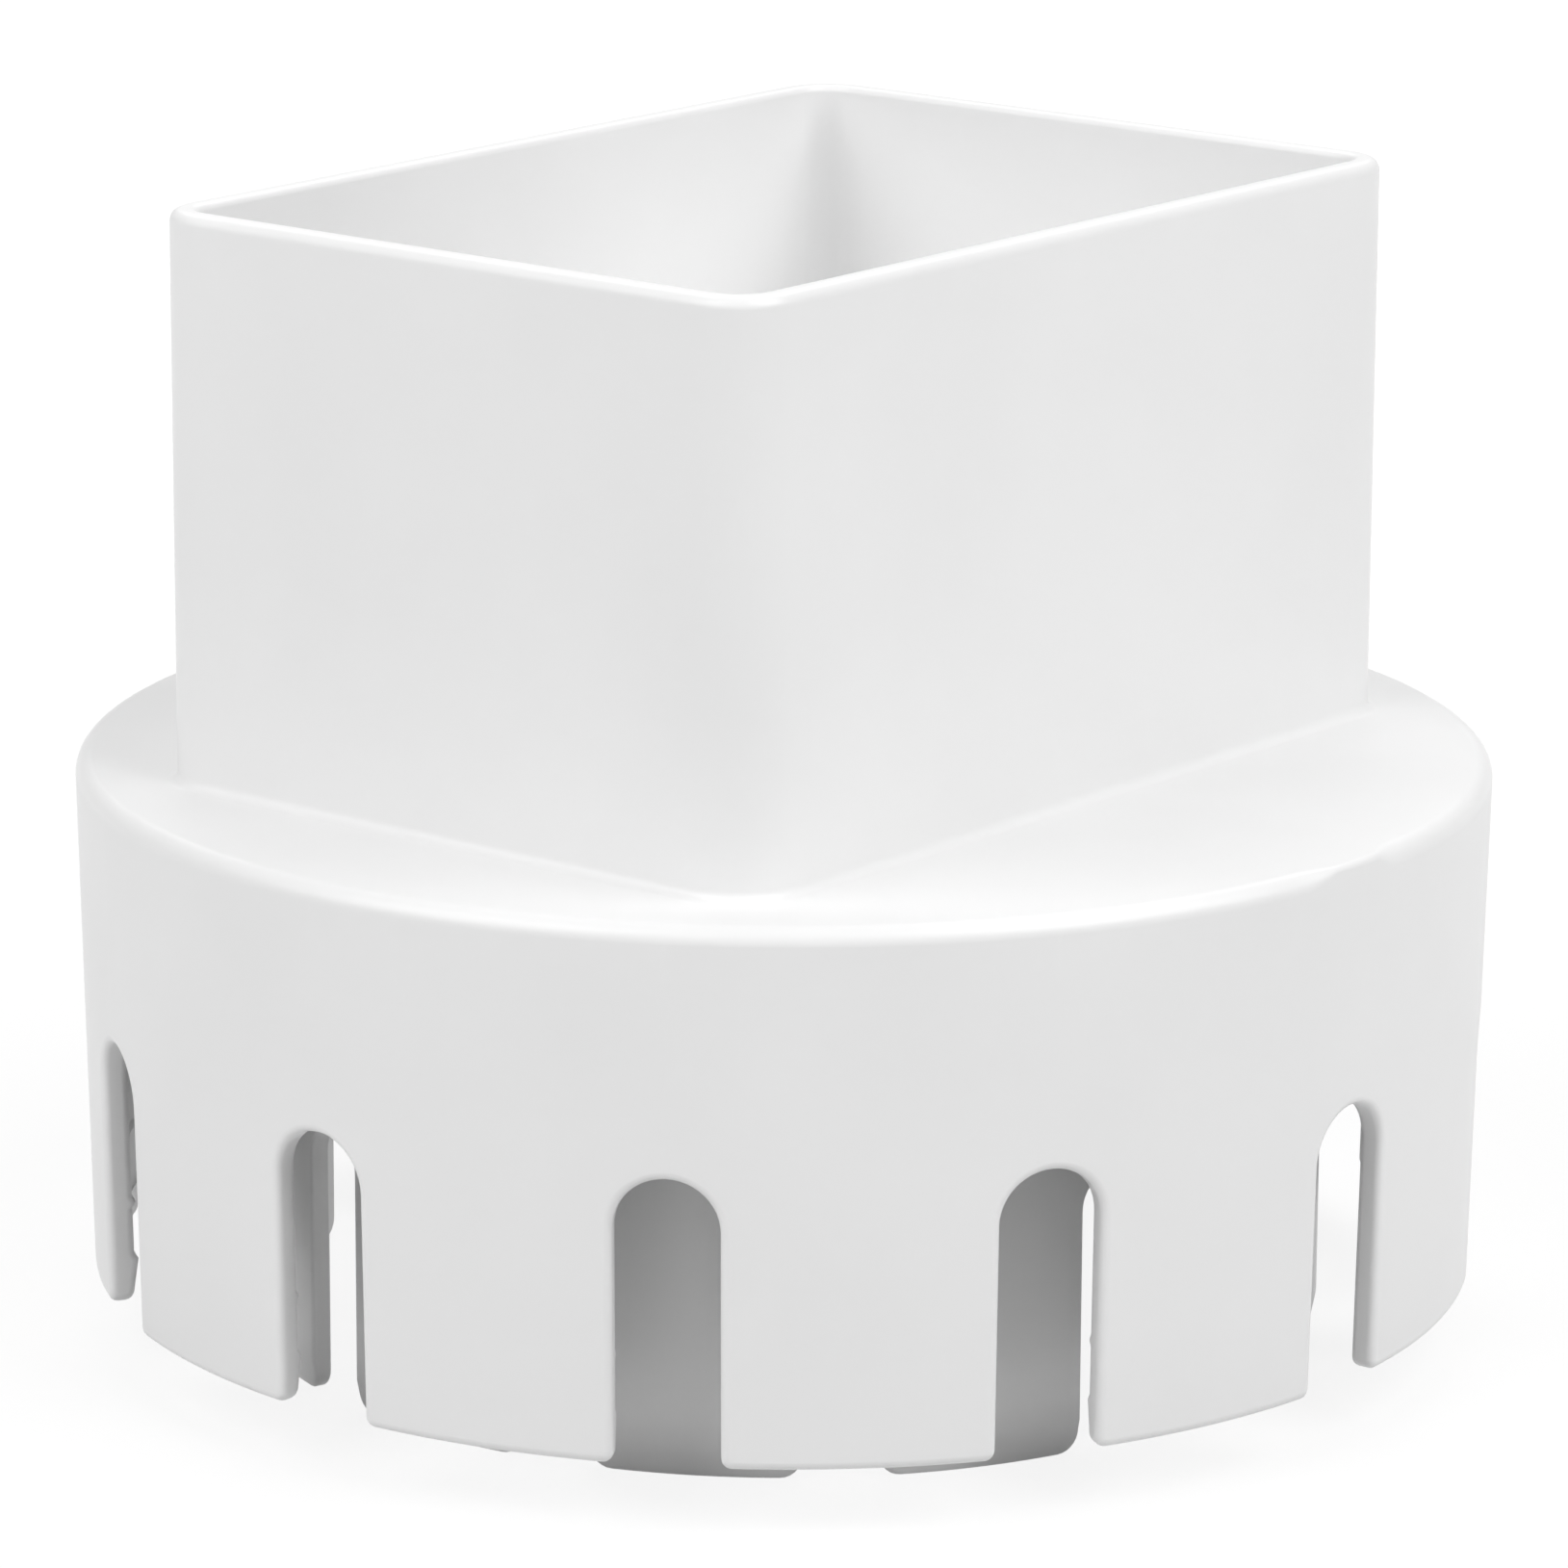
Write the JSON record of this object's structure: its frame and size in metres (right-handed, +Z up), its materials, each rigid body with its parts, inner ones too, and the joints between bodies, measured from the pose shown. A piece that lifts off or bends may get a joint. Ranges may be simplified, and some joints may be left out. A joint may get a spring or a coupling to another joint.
{
  "type": "downspout adapter",
  "caption": "Moulded adapter with a rectangular socket for a downspout over a round flange and two concentric rings of slotted spring fingers that close round a drain pipe.",
  "frame": {"origin": "on the axis, level with the tips of the inner ring, which the adapter stands on", "axes": "+Z up out of the downspout socket, X along the socket's long side"},
  "size_m": [0.1194, 0.1194, 0.0978],
  "materials": {
    "white_plastic": "satin white moulded plastic"
  },
  "bodies": {
    "root": {"downspout_adapter": "white_plastic"}
  },
  "joints": []
}
